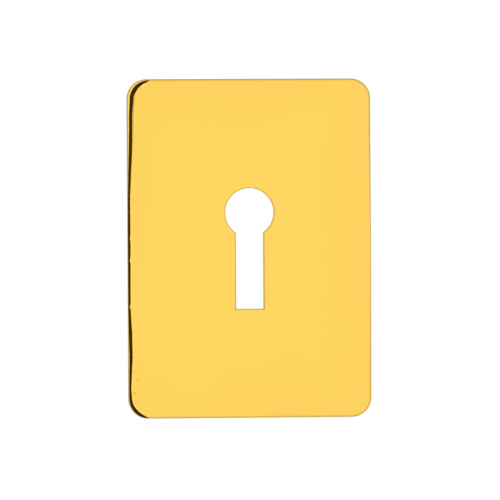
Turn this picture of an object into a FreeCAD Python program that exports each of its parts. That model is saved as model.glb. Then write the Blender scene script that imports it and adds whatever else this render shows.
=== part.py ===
import FreeCAD, Part
import math
import os

# A keyhole escutcheon: the plate of polished brass that covers the ragged edge of a keyhole.
# It is stamped from one sheet and has no screw holes, because it is glued on by its back.
# Sizes are in millimetres. X runs to the right, Z up, and the front faces -Y.
# The origin is the centre of the keyhole's round part, on the back face.

# Plate
plate_width = 43.0
plate_height = 59.8
plate_thickness = 2.0
corner_radius = 3.5

# Back edge, with its burr taken off
back_break = 0.1

# Front edge, rolled over by the stamping and the polishing mop. The mop bites deepest round the
# two ends, where it leaves a narrow strip of the sheet's edge upright, and least half-way up
end_upright = 0.2
side_roll = 1.0

# Keyhole: a round hole for the key's shank, over a slot for its bit, which reaches down to a
# flat foot this far below the middle of the round
round_diameter = 8.6
slot_width = 4.9
slot_reach = 17.0
keyhole_break = 0.18

# The keyhole is centred on the plate, from the top of the round to the foot of the slot
round_radius = round_diameter / 2
plate_middle = (round_radius - slot_reach) / 2
plate_top = plate_middle + plate_height / 2
plate_foot = plate_middle - plate_height / 2

end_roll = plate_thickness - back_break - end_upright
touching = 1e-4


def corner_centres():
    """The middles of the four corner arcs, each with the angle where its arc starts."""
    right = plate_width / 2 - corner_radius
    high = plate_top - corner_radius
    low = plate_foot + corner_radius
    return [(right, high, 0), (-right, high, 90), (-right, low, 180), (right, low, 270)]


def on_corner(centre, degrees):
    """A point of the outline, on the arc round one corner's centre."""
    across, up, start = centre
    angle = math.radians(start + degrees)
    x = across + corner_radius * math.cos(angle)
    z = up + corner_radius * math.sin(angle)
    return FreeCAD.Vector(x, 0, z)


def plate_outline():
    """Four corner arcs and four sides, with each upright side in two halves."""
    corners = corner_centres()
    edges = []
    for centre, following in zip(corners, corners[1:] + corners[:1]):
        start, middle, end = [on_corner(centre, turn) for turn in (0, 45, 90)]
        next_start = on_corner(following, 0)
        edges.append(Part.Arc(start, middle, end).toShape())
        stops = [end, next_start]
        if abs(end.x - next_start.x) < touching:
            stops.insert(1, (end + next_start) / 2)
        edges.extend(Part.makeLine(near, far) for near, far in zip(stops, stops[1:]))
    return Part.Wire(edges)


def lies_at(edge, y):
    """True for an edge with both its ends at one depth."""
    return all(abs(vertex.Y - y) < touching for vertex in edge.Vertexes)


def blank():
    """The plate as it is cut from the sheet, with the burr gone from its back edge."""
    sheet = Part.Face(plate_outline()).extrude(FreeCAD.Vector(0, -plate_thickness, 0))
    back_edges = [edge for edge in sheet.Edges if lies_at(edge, 0)]
    return sheet.makeChamfer(back_break, back_edges)


def roll_radius(point):
    """How far the front edge is rolled over at a point: least half-way up each side."""
    half_way_up = abs(point.z - plate_middle) < touching
    return min(side_roll, end_roll) if half_way_up else end_roll


def roll_front_edge(plate):
    """Rounds the front edge with a radius that swells from half-way up each side to its ends."""
    document = FreeCAD.newDocument("escutcheon")
    square = document.addObject("Part::Feature", "square")
    square.Shape = plate
    rolled = document.addObject("Part::Fillet", "rolled")
    rolled.Base = square
    rolls = []
    for number, edge in enumerate(plate.Edges, 1):
        if lies_at(edge, -plate_thickness):
            first = edge.valueAt(edge.FirstParameter)
            last = edge.valueAt(edge.LastParameter)
            rolls.append((number, roll_radius(first), roll_radius(last)))
    rolled.Edges = rolls
    document.recompute()
    return rolled.Shape.Solids[0]


def keyhole():
    """The slug that the punch takes out, which runs past both faces of the plate."""
    start = plate_thickness
    length = 3 * plate_thickness
    shank_hole = Part.makeCylinder(
        round_radius, length, FreeCAD.Vector(0, start, 0), FreeCAD.Vector(0, -1, 0)
    )
    foot_corner = FreeCAD.Vector(-slot_width / 2, start - length, -slot_reach)
    bit_slot = Part.makeBox(slot_width, length, slot_reach, foot_corner)
    return shank_hole.fuse(bit_slot).removeSplitter()


def pierce(plate):
    """Punches the keyhole and dulls its front edge."""
    slug = keyhole()
    pierced = plate.cut(slug)
    front_edges = [edge for edge in pierced.Edges if lies_at(edge, -plate_thickness)]
    rim = [edge for edge in front_edges if edge.distToShape(slug)[0] < touching]
    return pierced.makeChamfer(keyhole_break, rim)


escutcheon_plate = pierce(roll_front_edge(blank()))

os.makedirs("parts", exist_ok=True)
escutcheon_plate.exportStep("parts/escutcheon_plate.step")
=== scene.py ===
import math

import bpy
from mathutils import Matrix, Vector


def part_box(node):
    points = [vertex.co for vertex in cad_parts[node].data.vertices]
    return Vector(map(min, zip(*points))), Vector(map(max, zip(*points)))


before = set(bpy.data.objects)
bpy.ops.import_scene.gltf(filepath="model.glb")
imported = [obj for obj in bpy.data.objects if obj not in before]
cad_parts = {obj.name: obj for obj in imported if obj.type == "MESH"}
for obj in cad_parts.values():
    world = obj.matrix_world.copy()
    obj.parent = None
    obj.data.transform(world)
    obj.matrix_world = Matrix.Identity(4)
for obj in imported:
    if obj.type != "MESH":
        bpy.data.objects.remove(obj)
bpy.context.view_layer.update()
bpy.context.scene.view_settings.view_transform = "Standard"

# The escutcheon stands upright as it would on a door, with its front facing -Y.
# Sizes are in metres, and angles in degrees where they are written.
mm = 0.001
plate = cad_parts["escutcheon_plate"]
plate_low, plate_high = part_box("escutcheon_plate")
plate_middle = (plate_low + plate_high) / 2
plate_back = plate_high.y
plate_face = plate_low.y

# Camera: a long lens a little to the left of the plate
camera_distance = 706 * mm
camera_left = 3.4
camera_above = 1.2
camera_roll = 0.3
camera_lens = 288.0
sensor_width = 36.0
camera_sees_to = 20
aim_right = 0.15 * mm
aim_down = 0.28 * mm

# Floor
floor_drop = 210 * mm
floor_radius = 1.5
floor_corners = 128
floor_white = (0.91, 0.91, 0.91, 1)
floor_rough = 0.9

# Light: one lamp, and a sky that is dimmer for dull surfaces than for the camera and for mirrors.
# What a mirror sees of it fades between two angles from straight ahead of the plate
lamp_strength = 2.0
lamp_spread = 30.0
lamp_place = Vector((-0.5, -0.9, 1.3))
sky_for_diffuse = 0.6
sky_behind = 0.85
sky_falls = (105.0, 150.0)

# Black card that stands round the plate's left side, out of the camera's sight. Polished brass
# shows it as the dark line in its rolled edge. The card is closer than a studio's would be, so
# what is further from it than card_sight, such as the keyhole's rim, doesn't mirror it.
card_gap = 2 * mm
card_sight = 15 * mm
card_front = (0.03, 0.035, 0.03)
card_rear = (0.05, 0.028, 0.015)

# Glowing rims of the card, which the roll mirrors as painted glints. As angles: how wide each is
# and how far round the rear one may go
card_front_glint = 16.0
card_rear_glint = 25.0
card_furthest = 170.0

# The plate's own corners, and about how far its front edge is rolled over
corner_radius = 3.5 * mm
edge_roll = 1.5 * mm

# Each stop of the card is a distance along the plate's outline, downwards from the end of the top
# edge in millimetres, then the angles from straight ahead at which the roll mirrors the card's
# front and rear edges, then how brightly its front rim and its rear rim glow, as painted glints.
card_stops = (
    (-0.6, 112, 129, 1.0, 1.0),
    (0.0, 81, 121, 1.1, 1.0),
    (1.3, 48, 104, 1.25, 1.1),
    (3.3, 27, 93, 1.1, 1.2),
    (5.5, 35, 90, 0.55, 1.25),
    (8.0, 50, 99, 0.6, 1.2),
    (14.0, 45, 102, 0.9, 1.1),
    (23.0, 69, 124, 1.1, 1.0),
    (28.0, 60, 125, 1.15, 1.0),
    (34.0, 57, 125, 1.2, 1.0),
    (42.5, 75, 131, 1.0, 1.0),
    (46.5, 57, 126, 1.1, 1.1),
    (51.0, 57, 115, 1.05, 1.1),
    (56.5, 87, 131, 1.1, 1.1),
    (58.8, 71, 124, 1.2, 1.0),
    (61.0, 63, 129, 1.25, 1.0),
    (62.3, 73, 135, 1.2, 1.0),
    (63.2, 90, 138, 1.2, 1.0),
    (64.0, 135, 145, 1.0, 1.0),
)
card_step = 0.2

# Nicks in the card's front edge: how far along they are, how many degrees they cut out of it and
# how far they reach to either side
card_nicks = ((30.0, 10, 0.7), (33.9, 16, 0.8), (42.2, 19, 0.4))

# Brass, as the share of each colour that it mirrors. A painted pool of light makes it lightest a
# little left of the plate's middle, and it deepens towards the plate's rim, between the two shares
# of the way there that the span below gives. It has faint clouds, and it is darker where it is seen
# at a glance
brass_deep = (0.985, 0.644, 0.117, 1)
brass_light = (1.0, 0.675, 0.122, 1)
brass_glancing = (0.6, 0.56, 0.42, 1)
pool_light_span = (0.5, 1.05)
pool_light_left = 3 * mm
cloud_size = 25 * mm
cloud_tone = (-0.3, 0.3)

# How far a surface faces the front is 1 for the front face, 0 for a wall and -1 for the back.
# As it falls between the first two values below, round the rolled edge, painted shade darkens the
# brass to the third
edge_shade_from = 0.72
edge_shade_to = 0.2
painted_edge_shade = 0.65

# Waves and hairlines that the polishing mop leaves
polish_rough = (0.04, 0.09)
wave_size = 2.5 * mm
wave_height = 0.012 * mm
hairline_gap = 0.15 * mm
hairline_length = 6 * mm
hairline_height = 0.0003 * mm

# Two faint specks low on the front's left side: their places across and up from the middle of
# the keyhole's round, how wide they are, and how much of the brass they hide in their middle
specks = (
    (-19.8 * mm, -29.37 * mm, 0.7 * mm, 0.4),
    (-20.45 * mm, -31.6 * mm, 0.5 * mm, 0.75),
)
speck_colour = (0.5, 0.24, 0.02, 1)

# Keyhole: it lies within keyhole_zone of the way to the plate's rim, and what faces the front
# less than wall_below there is its wall or its broken rim. The wall's colour gives way to the
# rim's by break_facing. The punch burnishes the wall near the front and tears it further in
keyhole_zone = 0.7
wall_below = 0.97
break_facing = 0.6
brass_wall = (0.93, 0.66, 0.12, 1)
brass_break = (0.74, 0.575, 0.125, 1)
wall_glancing = (0.75, 0.55, 0.05, 1)
burnished_to = 0.8 * mm
torn_from = 1.2 * mm
burnished_rough = 0.3
torn_rough = 0.5
streak_gap = 0.12 * mm
streak_length = 1.5 * mm
streak_height = 0.01 * mm

# Back: the bare sheet with the grain of the rolling mill
back_from = -0.5
back_to = -0.6
back_deep = (0.70, 0.44, 0.10, 1)
back_light = (0.86, 0.57, 0.14, 1)
back_rough = (0.25, 0.42)
grain_gap = 0.25 * mm
grain_length = 12 * mm
grain_height = 0.0012 * mm

# Most values of a noise texture lie in this span
noise_span = (0.3, 0.7)


def node(tree, kind, inputs=None, **settings):
    """A new shader node with its settings, and its inputs linked or set."""
    made = tree.nodes.new(kind)
    for name, value in settings.items():
        setattr(made, name, value)
    for name, value in (inputs or {}).items():
        if isinstance(value, bpy.types.NodeSocket):
            tree.links.new(value, made.inputs[name])
        else:
            made.inputs[name].default_value = value
    return made


def maths(tree, operation, first, second=0.0, third=0.0):
    inputs = {0: first, 1: second, 2: third}
    return node(tree, "ShaderNodeMath", inputs, operation=operation).outputs[0]


def vector_maths(tree, operation, first, second, result="Vector"):
    inputs = {0: first, 1: second}
    return node(tree, "ShaderNodeVectorMath", inputs, operation=operation).outputs[result]


def ramp(tree, value, span, results, **settings):
    """Maps a span of values to a span of results, held at both ends."""
    inputs = {"Value": value}
    for name, number in zip(("From Min", "From Max", "To Min", "To Max"), (*span, *results)):
        inputs[name] = number
    return node(tree, "ShaderNodeMapRange", inputs, **settings).outputs["Result"]


def blend(tree, share, first, second):
    return node(tree, "ShaderNodeMix", {"Factor": share, "A": first, "B": second}).outputs["Result"]


def blend_colours(tree, share, first, second):
    """Blends by the Mix node's colour sockets, which share their names with its other sockets."""
    inputs = {0: share, 6: first, 7: second}
    return node(tree, "ShaderNodeMix", inputs, data_type="RGBA").outputs[2]


def noise(tree, place, size):
    """Cloudy noise with features of one size."""
    return node(tree, "ShaderNodeTexNoise", {"Vector": place, "Scale": 1 / size}).outputs["Fac"]


def streaks(tree, place, sizes):
    """Noise whose features have their own size along each axis."""
    scaled = vector_maths(tree, "MULTIPLY", place, [1 / size for size in sizes])
    return node(tree, "ShaderNodeTexNoise", {"Vector": scaled, "Scale": 1.0}).outputs["Fac"]


def make_camera():
    """The photograph's point of view."""
    left, above = math.radians(camera_left), math.radians(camera_above)
    level = math.cos(above)
    back = Vector((-math.sin(left) * level, -math.cos(left) * level, math.sin(above)))
    right = Vector((0, 0, 1)).cross(back).normalized()
    up = back.cross(right)
    turned = Matrix.Rotation(-math.radians(camera_roll), 3, back)
    axes = Matrix((turned @ right, turned @ up, back)).transposed()
    data = bpy.data.cameras.new("camera")
    data.sensor_width = sensor_width
    data.lens = camera_lens
    data.clip_end = camera_sees_to
    camera = bpy.data.objects.new("camera", data)
    middle_at_back = Vector((plate_middle.x, plate_back, plate_middle.z))
    aim = middle_at_back + right * aim_right - up * aim_down
    camera.matrix_world = Matrix.Translation(aim + back * camera_distance) @ axes.to_4x4()
    bpy.context.scene.collection.objects.link(camera)
    bpy.context.scene.camera = camera


def make_world():
    """White behind the plate and in its reflections, fading a little round the back."""
    world = bpy.data.worlds.new("studio")
    world.use_nodes = True
    tree = world.node_tree
    tree.nodes.clear()
    direction = node(tree, "ShaderNodeTexCoord").outputs["Generated"]
    forward = vector_maths(tree, "DOT_PRODUCT", direction, (0, -1, 0), "Value")
    angle = maths(tree, "ARCCOSINE", forward)
    falls = [math.radians(degrees) for degrees in sky_falls]
    mirrored = ramp(tree, angle, falls, (1.0, sky_behind), interpolation_type="SMOOTHSTEP")
    path = node(tree, "ShaderNodeLightPath").outputs
    lit = blend(tree, path["Is Glossy Ray"], sky_for_diffuse, mirrored)
    seen = maths(tree, "MAXIMUM", path["Is Camera Ray"], path["Is Transmission Ray"])
    strength = blend(tree, seen, lit, 1.0)
    background = node(tree, "ShaderNodeBackground", {"Color": (1, 1, 1, 1), "Strength": strength})
    node(tree, "ShaderNodeOutputWorld", {"Surface": background.outputs[0]})
    bpy.context.scene.world = world


def make_floor():
    """A pale round floor well below the plate, out of the photograph's frame."""
    bpy.ops.mesh.primitive_circle_add(
        vertices=floor_corners,
        radius=floor_radius,
        fill_type="NGON",
        location=(0, 0, plate_low.z - floor_drop),
    )
    floor = bpy.context.object
    floor.name = "floor"
    material = bpy.data.materials.new("floor")
    material.use_nodes = True
    surface = material.node_tree.nodes["Principled BSDF"]
    surface.inputs["Base Color"].default_value = floor_white
    surface.inputs["Roughness"].default_value = floor_rough
    floor.data.materials.append(material)


def make_lamp():
    """One soft lamp, high on the left."""
    data = bpy.data.lights.new("lamp", "SUN")
    data.angle = math.radians(lamp_spread)
    data.energy = lamp_strength
    lamp = bpy.data.objects.new("lamp", data)
    lamp.location = lamp_place
    lamp.rotation_mode = "QUATERNION"
    lamp.rotation_quaternion = lamp_place.to_track_quat("Z", "Y")
    lamp.visible_glossy = False
    bpy.context.scene.collection.objects.link(lamp)


def outward(turn):
    """The way out from the plate, at an angle in radians upwards from its right."""
    return Vector((math.cos(turn), 0, math.sin(turn)))


def outline_place(distance):
    """The point a corner radius inside the outline, at a distance along it, and the way out."""
    quarter = corner_radius * math.pi / 2
    side = plate_high.z - plate_low.z - 2 * corner_radius
    left = plate_low.x + corner_radius
    top = plate_high.z - corner_radius
    if distance < 0:
        return Vector((left - distance, 0, top)), outward(math.pi / 2)
    if distance < quarter:
        return Vector((left, 0, top)), outward(math.pi / 2 + distance / corner_radius)
    if distance < quarter + side:
        return Vector((left, 0, top - (distance - quarter))), outward(math.pi)
    past_side = distance - quarter - side
    foot = plate_low.z + corner_radius
    return Vector((left, 0, foot)), outward(math.pi + past_side / corner_radius)


def card_point(centre, way, angle):
    """The point of the card that the roll mirrors at an angle from straight ahead."""
    tilt = math.radians(angle + camera_left) / 2
    inset = edge_roll * (1 - math.sin(tilt))
    depth = edge_roll * (1 - math.cos(tilt))
    reach = (card_gap + inset) / math.tan(math.radians(angle))
    foot = centre + way * (corner_radius + card_gap)
    return foot.x, plate_face + depth - reach, foot.z


def between_stops(along):
    """The card's angles and rims between its stops."""
    for near, far in zip(card_stops, card_stops[1:]):
        if near[0] <= along <= far[0]:
            share = (along - near[0]) / (far[0] - near[0])
            return [a + (b - a) * share for a, b in zip(near[1:], far[1:])]
    return card_stops[-1][1:]


def nicked(along):
    """How many degrees a nick cuts out of the card's front edge at a place."""
    cuts = [
        degrees * max(0, 1 - abs(along - place) / reach)
        for place, degrees, reach in card_nicks
    ]
    return sum(cuts)


def grey(level):
    return level, level, level


def card_section(along):
    """The card's front rim, its black middle and its rear rim, as pairs of angles and shades."""
    front, rear, front_glow, rear_glow = between_stops(along)
    front += nicked(along)
    furthest = min(rear + card_rear_glint, card_furthest)
    return (
        (front - card_front_glint, grey(front_glow)),
        (front, grey(front_glow)),
        (front, card_front),
        (rear, card_rear),
        (rear, grey(rear_glow)),
        (furthest, grey(rear_glow)),
    )


def make_card():
    """A strip of card whose front and rear edges rise and fall along the plate's side."""
    start, finish = card_stops[0][0], card_stops[-1][0]
    count = round((finish - start) / card_step)
    points, shades = [], []
    for index in range(count + 1):
        along = start + (finish - start) * index / count
        centre, way = outline_place(along * mm)
        for angle, shade in card_section(along):
            points.append(card_point(centre, way, angle))
            shades.append((*shade, 1))
    across = len(points) // (count + 1)
    faces = []
    for index in range(count):
        for lane in range(0, across, 2):
            corner = index * across + lane
            faces.append((corner, corner + 1, corner + across + 1, corner + across))
    mesh = bpy.data.meshes.new("card")
    mesh.from_pydata(points, [], faces)
    colours = mesh.attributes.new("shade", "FLOAT_COLOR", "POINT")
    for point, shade in zip(colours.data, shades):
        point.color = shade
    mesh.materials.append(card_material())
    card = bpy.data.objects.new("card", mesh)
    bpy.context.scene.collection.objects.link(card)
    card.visible_camera = False
    card.visible_diffuse = False
    card.visible_shadow = False
    card.visible_transmission = False


def card_material():
    """Black card with glowing rims for painted glints, each point in its own shade, and clear to
    what is far from it.
    """
    material = bpy.data.materials.new("card")
    material.use_nodes = True
    tree = material.node_tree
    tree.nodes.clear()
    shade = node(tree, "ShaderNodeAttribute", attribute_name="shade").outputs["Color"]
    # The rims glow as painted glints, and the black middle hardly glows at all
    glow = node(tree, "ShaderNodeEmission", {"Color": shade}).outputs[0]
    clear = node(tree, "ShaderNodeBsdfTransparent").outputs[0]
    length = node(tree, "ShaderNodeLightPath").outputs["Ray Length"]
    far = maths(tree, "GREATER_THAN", length, card_sight)
    surface = node(tree, "ShaderNodeMixShader", {0: far, 1: glow, 2: clear}).outputs[0]
    node(tree, "ShaderNodeOutputMaterial", {"Surface": surface})
    return material


def polished_brass():
    """Brass, mirror-polished in front, sheared round the keyhole and grained at the back."""
    material = bpy.data.materials.new("polished_brass_finish")
    material.use_nodes = True
    tree = material.node_tree
    coordinates = node(tree, "ShaderNodeTexCoord").outputs
    place = coordinates["Object"]
    along = node(tree, "ShaderNodeSeparateXYZ", {0: place}).outputs
    normal = node(tree, "ShaderNodeSeparateXYZ", {0: coordinates["Normal"]}).outputs
    facing = maths(tree, "MULTIPLY", normal["Y"], -1.0)
    behind = ramp(tree, facing, (back_from, back_to), (0.0, 1.0))
    reach = rim_share(tree, along)
    sheared = sheared_share(tree, reach, facing, behind)
    grain = streaks(tree, place, (grain_gap, grain_gap, grain_length))

    surface = tree.nodes["Principled BSDF"]
    surface.inputs["Metallic"].default_value = 1.0
    front = front_colour(tree, place, facing, reach, sheared)
    back = blend_colours(tree, grain, back_deep, back_light)
    tree.links.new(blend_colours(tree, behind, front, back), surface.inputs["Base Color"])
    tint = blend_colours(tree, sheared, brass_glancing, wall_glancing)
    tree.links.new(tint, surface.inputs["Specular Tint"])

    front = front_roughness(tree, place, along["Y"], sheared)
    back = ramp(tree, grain, noise_span, back_rough)
    tree.links.new(blend(tree, behind, front, back), surface.inputs["Roughness"])

    front = front_height(tree, place, sheared)
    back = maths(tree, "MULTIPLY", grain, grain_height)
    height = blend(tree, behind, front, back)
    bump = node(tree, "ShaderNodeBump", {"Height": height, "Distance": 1.0})
    tree.links.new(bump.outputs["Normal"], surface.inputs["Normal"])
    return material


def front_colour(tree, place, facing, reach, sheared):
    """Brass with faint clouds in it, a painted pool of light that leaves it deeper round the rim,
    painted shade on the steep rolled edge, and darker on sheared edges.
    """
    # Painted pool of light, fading from near the middle towards the rim
    pool_light = ramp(tree, reach, pool_light_span, (1.0, 0.0))
    clouds = ramp(tree, noise(tree, place, cloud_size), noise_span, cloud_tone)
    pool_light_and_clouds = node(tree, "ShaderNodeClamp", {"Value": maths(tree, "ADD", pool_light, clouds)}).outputs[0]
    brass = blend_colours(tree, pool_light_and_clouds, brass_deep, brass_light)
    # Painted shade on the rolled edge, darker as it turns away from the front
    edge_shade = ramp(tree, facing, (edge_shade_from, edge_shade_to), (1.0, painted_edge_shade))
    inputs = {0: brass, "Scale": edge_shade}
    shaded_brass = node(tree, "ShaderNodeVectorMath", inputs, operation="SCALE").outputs[0]
    specked = blend_colours(tree, speck_share(tree, place), shaded_brass, speck_colour)
    broken = ramp(tree, facing, (0.0, break_facing), (0.0, 1.0))
    wall = blend_colours(tree, broken, brass_wall, brass_break)
    return blend_colours(tree, sheared, specked, wall)


def front_roughness(tree, place, depth, sheared):
    """The polish of the front, and the walls of the keyhole, burnished and then torn."""
    polish = ramp(tree, noise(tree, place, wave_size), noise_span, polish_rough)
    walls = (plate_face + burnished_to, plate_face + torn_from)
    torn = ramp(tree, depth, walls, (0.0, 1.0))
    wall = blend(tree, torn, burnished_rough, torn_rough)
    return blend(tree, sheared, polish, wall)


def front_height(tree, place, sheared):
    """The mop's waves and hairlines in front, and the punch's streaks on the keyhole's walls."""
    waves = maths(tree, "MULTIPLY", noise(tree, place, wave_size), wave_height)
    hairlines = streaks(tree, place, (hairline_gap, hairline_gap, hairline_length))
    polished = maths(tree, "MULTIPLY_ADD", hairlines, hairline_height, waves)
    shear = streaks(tree, place, (streak_gap, streak_length, streak_gap))
    return blend(tree, sheared, polished, maths(tree, "MULTIPLY", shear, streak_height))


def speck_share(tree, place):
    """0 on clean brass, and more towards the middle of each speck."""
    across_and_up = (1, 0, 1)
    flat = vector_maths(tree, "MULTIPLY", place, across_and_up)
    share = 0.0
    for across, up, width, hidden in specks:
        apart = vector_maths(tree, "DISTANCE", flat, (across, 0, up), "Value")
        share = maths(tree, "ADD", share, ramp(tree, apart, (0.0, width / 2), (hidden, 0.0)))
    return share


def rim_share(tree, along):
    """0 at the middle of the painted pool of light, near the plate's middle, and about 1 at its
    outline.
    """
    half = (plate_high - plate_low) / 2
    aside = maths(tree, "ABSOLUTE", maths(tree, "ADD", along["X"], pool_light_left))
    upward = maths(tree, "ABSOLUTE", maths(tree, "SUBTRACT", along["Z"], plate_middle.z))
    aside_share = maths(tree, "DIVIDE", aside, half.x)
    upward_share = maths(tree, "DIVIDE", upward, half.z)
    return maths(tree, "MAXIMUM", aside_share, upward_share)


def sheared_share(tree, reach, facing, behind):
    """1 on the walls and the broken rim of the keyhole, and 0 elsewhere."""
    inner = maths(tree, "LESS_THAN", reach, keyhole_zone)
    turned = maths(tree, "LESS_THAN", facing, wall_below)
    either = maths(tree, "MULTIPLY", inner, turned)
    return maths(tree, "MULTIPLY", either, maths(tree, "SUBTRACT", 1.0, behind))


make_camera()
make_world()
make_floor()
make_lamp()
make_card()
plate.data.materials[0] = polished_brass()
